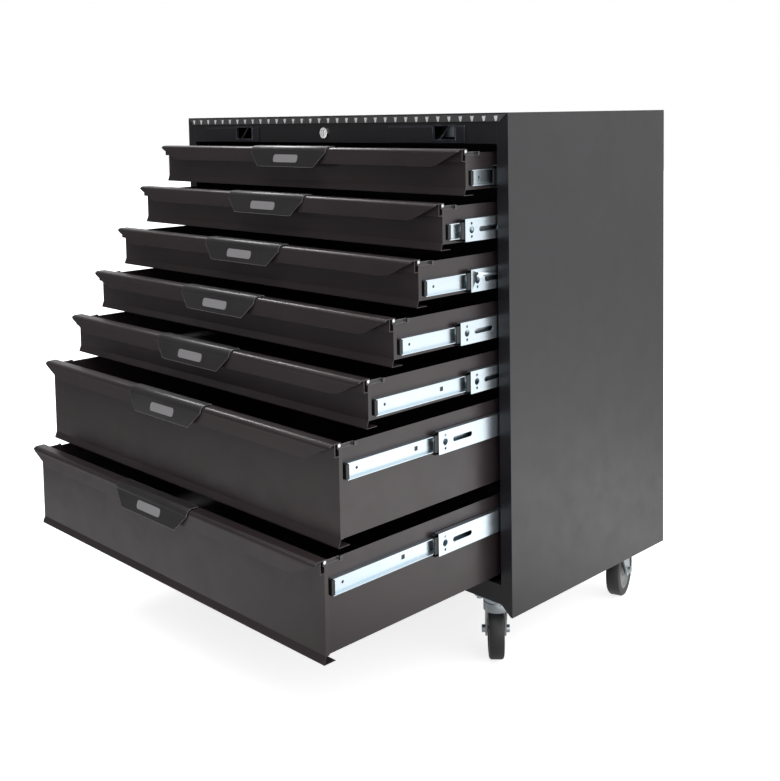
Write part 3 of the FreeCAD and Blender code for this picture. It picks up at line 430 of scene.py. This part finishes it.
black_moulding = moulded("black_moulding", colour=(0.012, 0.012, 0.013, 1), roughness=0.4)
for n in drawers:
    face_x, head_y, centre_z = slide_head(f"drawer_{n}_middle_slides")
    outer_x = face_x - retainer_outer
    along = (head_y - retainer_ahead, head_y + retainer_behind)
    top_z = centre_z + retainer_height
    bottom_z = centre_z - retainer_height
    retainer = blocks(
        f"slide_{n}_retainers",
        both_sides((face_x - retainer_inner, outer_x), along, (bottom_z, top_z))
        + both_sides((face_x - bar_inner, outer_x), along, (centre_z + bar_height, top_z))
        + both_sides((face_x - bar_inner, outer_x), along, (bottom_z, centre_z - bar_height)),
        black_moulding,
    )
    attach(retainer, f"middle_{n}")

# Bumpers: black moulded stops, one pushed into the front end of each inner member, where it
# stands a little out of the member and closes its rolled section.
bumper_depth = 6.6 * millimetre
bumper_ahead = 3.5 * millimetre
bumper_behind = 3 * millimetre
bumper_height = 11.3 * millimetre
for n in drawers:
    face_x, head_y, centre_z = slide_head(f"drawer_{n}_inner_slides")
    bumper = blocks(
        f"slide_{n}_bumpers",
        both_sides(
            (face_x - bumper_depth, face_x),
            (head_y - bumper_ahead, head_y + bumper_behind),
            (centre_z - bumper_height, centre_z + bumper_height),
        ),
        black_moulding,
    )
    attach(bumper, f"drawer_{n}")

# Drawers: folded and welded trays, and a rolled handle profile along the whole front, in a powder
# coat a little warmer than the carcass.
# Its lighter edges are partly wear and partly a painted highlight.
front_coat = powder_coat(
    "front_coat", colour=(0.027, 0.0195, 0.021, 1), edge_wear_and_highlight=(0.085, 0.078, 0.08, 1), roughness=0.34
)
for n in drawers:
    soften(f"drawer_{n}_box", front_coat, fold=0.3)
    soften(f"drawer_{n}_handle", front_coat, fold=0.3)

# Latches: a moulded cap over the middle of each handle, on a zinc plated rod that turns in the
# handle's ends and carries the hooks.
rod_end = 412.5 * millimetre
# The cap gets a painted highlight along its edges, as wide and as light as set here.
cap_highlight_width = 1.2 * millimetre
cap_refraction = 1.55
cap_dark = (0.019, 0.017, 0.018, 1)
cap_light = (0.026, 0.024, 0.025, 1)
cap_edge_highlight = (0.3, 0.29, 0.29, 1)
rod_colour = (0.72, 0.75, 0.79, 1)
rod_roughness = 0.3


def blend_numbers(tree, factor, first, second):
    """The first number where the factor is 0, and the second where it is 1."""
    return add_node(
        tree, "Mix", [("data_type", "FLOAT")], _0=factor, _2=first, _3=second
    ).outputs[0]


def cap_and_rod(name):
    """Black plastic all along the latch with a painted highlight on its edges, and zinc on the two
    ends of its rod.
    """
    material, tree, shader = start_finish(name)
    place = add_node(tree, "TexCoord").outputs["Object"]
    across = add_node(tree, "SeparateXYZ", Vector=place).outputs["X"]
    plated = reckon(tree, "GREATER_THAN", reckon(tree, "ABSOLUTE", across), rod_end)
    fine = grain(tree, place, fineness=1500.0, detail=2.0)
    cloud = grain(tree, place, fineness=15.0, detail=4.0)
    clouded = blend_colours(tree, spread(tree, cloud), cap_dark, cap_light)
    # Painted highlight along the cap's edges.
    plastic = blend_colours(tree, edge_mask(tree, cap_highlight_width), clouded, cap_edge_highlight)
    sheen = spread(tree, fine, low=0.33, high=0.43)
    join_finish(
        tree,
        shader,
        colour=blend_colours(tree, plated, plastic, rod_colour),
        roughness=blend_numbers(tree, plated, sheen, rod_roughness),
        relief=fine,
        strength=0.15,
    )
    tree.links.new(plated, shader.inputs["Metallic"])
    shader.inputs["IOR"].default_value = cap_refraction
    return material


latch_finish = cap_and_rod("latch_finish")
for n in drawers:
    soften(f"drawer_{n}_latch", latch_finish, fold=0.3)

# Badge plates: a blank silver plate of thin metal with rounded ends, stuck on the slope of each
# latch's cap. Its outline is given across and up from the middle of the latch.
badge_left = -35 * millimetre
badge_right = 33 * millimetre
badge_top = -13 * millimetre
badge_bottom = -27 * millimetre
badge_corner = 5 * millimetre
badge_corner_steps = 6
badge_proud = 0.4 * millimetre
slope_top = Vector((0, -17.4, -9)) * millimetre
slope_end = Vector((0, -24.4, -35)) * millimetre
badge_silver = brushed(
    "badge_silver", colour=(0.42, 0.4, 0.41, 1), roughness=0.35, stretch=(20, 700, 700), metallic=0.45
)


def badge_outline():
    """Places across and up, round the plate's edge."""
    places = []
    for x, z, start in (
        (badge_right - badge_corner, badge_top - badge_corner, 0),
        (badge_left + badge_corner, badge_top - badge_corner, 90),
        (badge_left + badge_corner, badge_bottom + badge_corner, 180),
        (badge_right - badge_corner, badge_bottom + badge_corner, 270),
    ):
        for k in range(badge_corner_steps + 1):
            angle = math.radians(start + 90 * k / badge_corner_steps)
            places.append((x + badge_corner * math.cos(angle), z + badge_corner * math.sin(angle)))
    return places


slope = (slope_end - slope_top) / (slope_end.z - slope_top.z)
outward = Vector((0, slope_end.z - slope_top.z, slope_top.y - slope_end.y)).normalized()
places = badge_outline()
count = len(places)
faces = [tuple(range(count, 2 * count))]
faces += [(k, (k + 1) % count, count + (k + 1) % count, count + k) for k in range(count)]
for n in drawers:
    cap_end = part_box(f"drawer_{n}_latch")[0]
    origin = Vector((0, cap_end.y, cap_end.z)) - slope_end
    corners = []
    for lift in (0.0, badge_proud):
        for x, z in places:
            on_slope = slope_top + slope * (z - slope_top.z)
            corners.append(origin + on_slope + Vector((x, 0, 0)) + outward * lift)
    badge = new_piece(f"badge_{n}", corners, faces, badge_silver)
    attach(badge, f"latch_{n}")

# Lock: a chrome barrel held in the top rail by a nut, with the plug turning in it and a zinc plated
# link and bar behind the rail.
chrome = brushed(
    "chrome", colour=(0.83, 0.83, 0.83, 1), roughness=0.12, stretch=(300, 300, 300), cooler_by=(0, 0)
)
soften("lock_barrel", chrome, fold=0.4)
soften("lock_plug", chrome, fold=0.2)
soften("lock_link", zinc, fold=0.2, segments=1)
soften("lock_bar", zinc, fold=0.2, segments=1)

# Casters: a zinc plated plate with its ball race, held under the floor of the carcass by screws,
# and a pressed fork that swivels in the race and holds the axle.
caster_corners = ("front_left", "front_right", "rear_left", "rear_right")
fork_zinc = brushed("fork_zinc", colour=(0.5, 0.53, 0.55, 1), roughness=0.34, stretch=(120, 120, 120))
soften("caster_plates", zinc, fold=0.3)
for corner in caster_corners:
    soften(f"caster_{corner}_fork", fork_zinc, fold=0.4)

# Wheels: a black rubber tyre with rounded shoulders on a light grey dished hub, turned as one
# piece about the axle. The profiles are in millimetres across and out from the axle.
tyre_profile = (
    (-13, 36), (-13, 45), (-12.2, 48), (-9.5, 50),
    (9.5, 50), (12.2, 48), (13, 45), (13, 36),
)
hub_profile = (
    (-12, 4.2), (-12, 11), (-8.5, 13.5), (-8.5, 29), (-12, 32.5), (-12, 36),
    (12, 36), (12, 32.5), (8.5, 29), (8.5, 13.5), (12, 11), (12, 4.2),
)
wheel_steps = 96
shoulder_angle = math.radians(38)
tyre_rubber = moulded("tyre_rubber", colour=(0.026, 0.026, 0.028, 1), roughness=0.5, fineness=700.0)
hub_plastic = moulded("hub_plastic", colour=(0.26, 0.27, 0.28, 1), roughness=0.42)


def turned_ring(profile, centre, axle):
    """Corners and faces of a closed profile turned about the axle."""
    across = Vector(axle).normalized()
    out = Vector((0, 0, 1))
    ahead = across.cross(out)
    corners = []
    faces = []
    count = len(profile)
    for step in range(wheel_steps):
        angle = 2 * math.pi * step / wheel_steps
        radial = out * math.cos(angle) + ahead * math.sin(angle)
        for wide, radius in profile:
            corners.append(centre + (across * wide + radial * radius) * millimetre)
        for k in range(count):
            here = step * count
            there = (step + 1) % wheel_steps * count
            faces.append((here + k, here + (k + 1) % count, there + (k + 1) % count, there + k))
    return corners, faces


axles = {joint["name"]: joint for joint in frame["joints"]}
for corner in caster_corners:
    roll = axles[f"roll_{corner}"]
    centre = Vector(roll["pos_m"])
    tyre_corners, tyre_faces = turned_ring(tyre_profile, centre, roll["axis"])
    hub_corners, hub_faces = turned_ring(hub_profile, centre, roll["axis"])
    moved = [tuple(len(tyre_corners) + k for k in face) for face in hub_faces]
    wheel = new_piece(
        f"wheel_{corner}", tyre_corners + hub_corners, tyre_faces + moved, tyre_rubber, hub_plastic
    )
    for k, face in enumerate(wheel.data.polygons):
        face.material_index = 0 if k < len(tyre_faces) else 1
        face.use_smooth = True
    wheel.data.set_sharp_from_angle(angle=shoulder_angle)
    shape = bmesh.new()
    shape.from_mesh(wheel.data)
    bmesh.ops.recalc_face_normals(shape, faces=shape.faces)
    shape.to_mesh(wheel.data)
    shape.free()
    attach(wheel, f"wheel_{corner}")
    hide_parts(f"caster_{corner}_wheel")

# Floor: a plain pale studio floor that takes the cabinet's shadow and glows to the camera, more
# further out, so that it is white there. To glossy rays it is only a glow, a painted reflection that
# the coat mirrors dark to the front left and bright to the right, less bright towards the back.
floor_reach = 14.0
floor_corners = [
    (x * floor_reach, y * floor_reach, 0) for x, y in ((-1, -1), (1, -1), (1, 1), (-1, 1))
]
painted_reflection_levels = (
    (0.05, 0.075),
    (0.13, 0.1),
    (0.25, 0.31),
    (0.31, 0.34),
    (0.36, 0.1),
    (0.43, 0.22),
    (0.47, 0.72),
    (0.52, 1.0),
    (0.6, 0.7),
    (0.9, 0.64),
)
right_and_back = (0.78, 0.62, 0)


def rearward(tree, vector):
    """How far back a direction or place lies for each metre that it lies to the side."""
    parts = add_node(tree, "SeparateXYZ", Vector=vector).outputs
    return reckon(tree, "DIVIDE", parts["Y"], reckon(tree, "ABSOLUTE", parts["X"]))


floor_finish, tree, shader = start_finish("floor_finish")
shader.inputs["Base Color"].default_value = (0.8, 0.8, 0.8, 1)
shader.inputs["Roughness"].default_value = 0.9
shader.inputs["Specular IOR Level"].default_value = 0.0
shader.inputs["Emission Color"].default_value = (1, 1, 1, 1)
ray = add_node(tree, "LightPath").outputs
place = add_node(tree, "TexCoord").outputs["Object"]
distance = add_node(tree, "VectorMath", [("operation", "LENGTH")], _0=place).outputs["Value"]
lift = spread(tree, distance, low=0.78, high=1.0, start=0.9, end=3.2)
shown = reckon(tree, "MULTIPLY", ray["Is Camera Ray"], lift)
tree.links.new(shown, shader.inputs["Emission Strength"])
# Painted reflection: the glow that glossy rays see, its brightness set by place on the floor.
sideways = spread(tree, reach_along(tree, place, right_and_back), start=-3.0, end=5.0)
mirrored = add_node(tree, "ValToRGB", Fac=sideways)
ramp = mirrored.color_ramp
for position, level in painted_reflection_levels:
    stop = ramp.elements.new(position)
    stop.color = (level, level, level, 1)
ramp.elements.remove(ramp.elements[0])
ramp.elements.remove(ramp.elements[-1])
strength = spread(tree, rearward(tree, place), low=2.15, high=1.18, start=1.05, end=1.55)
glow = add_node(tree, "Emission", Color=mirrored.outputs["Color"], Strength=strength)
either = add_node(
    tree,
    "MixShader",
    _0=ray["Is Glossy Ray"],
    _1=shader.outputs["BSDF"],
    _2=glow.outputs["Emission"],
)
tree.links.new(either.outputs["Shader"], tree.nodes["Material Output"].inputs["Surface"])
floor = new_piece("floor", floor_corners, [(0, 1, 2, 3)], floor_finish)

# Studio light: a soft white room that is darker to the front left, a large softbox above the front,
# a smaller one behind on the left, and a small card that lights the lock.
lit_side = (0.75, 0.6, 0.25)
world = bpy.data.worlds.new("studio")
bpy.context.scene.world = world
world.use_nodes = True
tree = world.node_tree
background = tree.nodes["Background"]
background.inputs["Color"].default_value = (1, 1, 1, 1)
direction = add_node(tree, "TexCoord").outputs["Generated"]
towards = reach_along(tree, direction, lit_side)
sides = spread(tree, rearward(tree, direction), low=1.7, high=0.95, start=1.05, end=1.55)
studio = spread(tree, towards, low=0.13, high=sides, start=-0.55, end=0.75)
ray = add_node(tree, "LightPath").outputs
brightness = blend_numbers(tree, ray["Is Camera Ray"], studio, 1.0)
tree.links.new(brightness, background.inputs["Strength"])


def softbox(name, place, target, size, watts):
    """A square area lamp turned to its target."""
    lamp = bpy.data.lights.new(name, "AREA")
    lamp.shape = "SQUARE"
    lamp.size = size
    lamp.energy = watts
    holder = bpy.data.objects.new(name, lamp)
    holder.location = place
    holder.rotation_euler = (Vector(target) - Vector(place)).to_track_quat("-Z", "Y").to_euler()
    bpy.context.scene.collection.objects.link(holder)


softbox("key", place=(0.6, -1.6, 3.2), target=(0, 0, 0.5), size=1.8, watts=29)
softbox("rim", place=(-2.2, 0.8, 2.6), target=(0, -0.3, 0.6), size=0.9, watts=30)
softbox("lock_card", place=(-1.11, -1.08, 0.86), target=(0, 0, 0.9), size=0.12, watts=0.06)

# Camera: level with the cabinet's top, to the right of its open drawers and turned a little down,
# with the lens shifted so that the whole cabinet is in view.
picture_width = 780
picture_height = 781
focal_pixels = 1114.1
horizon_row = 201.3
film_width = 36
eye = Vector((1.5708, -1.4054, 0.9362))
yaw = math.radians(45.4)
pitch = math.radians(-4.4)
roll = math.radians(-1.0)
forward = Vector((-math.sin(yaw) * math.cos(pitch), math.cos(yaw) * math.cos(pitch), math.sin(pitch)))
level_right = Vector((math.cos(yaw), math.sin(yaw), 0))
level_up = level_right.cross(forward)
right = math.cos(roll) * level_right + math.sin(roll) * level_up
up = -math.sin(roll) * level_right + math.cos(roll) * level_up
lens = bpy.data.cameras.new("camera")
lens.sensor_fit = "HORIZONTAL"
lens.sensor_width = film_width
lens.lens = focal_pixels * film_width / picture_width
lens.shift_y = (horizon_row - picture_height / 2) / picture_width
camera = bpy.data.objects.new("camera", lens)
camera.matrix_world = Matrix(
    [
        (right.x, up.x, -forward.x, eye.x),
        (right.y, up.y, -forward.y, eye.y),
        (right.z, up.z, -forward.z, eye.z),
        (0, 0, 0, 1),
    ]
)
bpy.context.scene.collection.objects.link(camera)
bpy.context.scene.camera = camera
bpy.context.scene.view_settings.view_transform = "Standard"
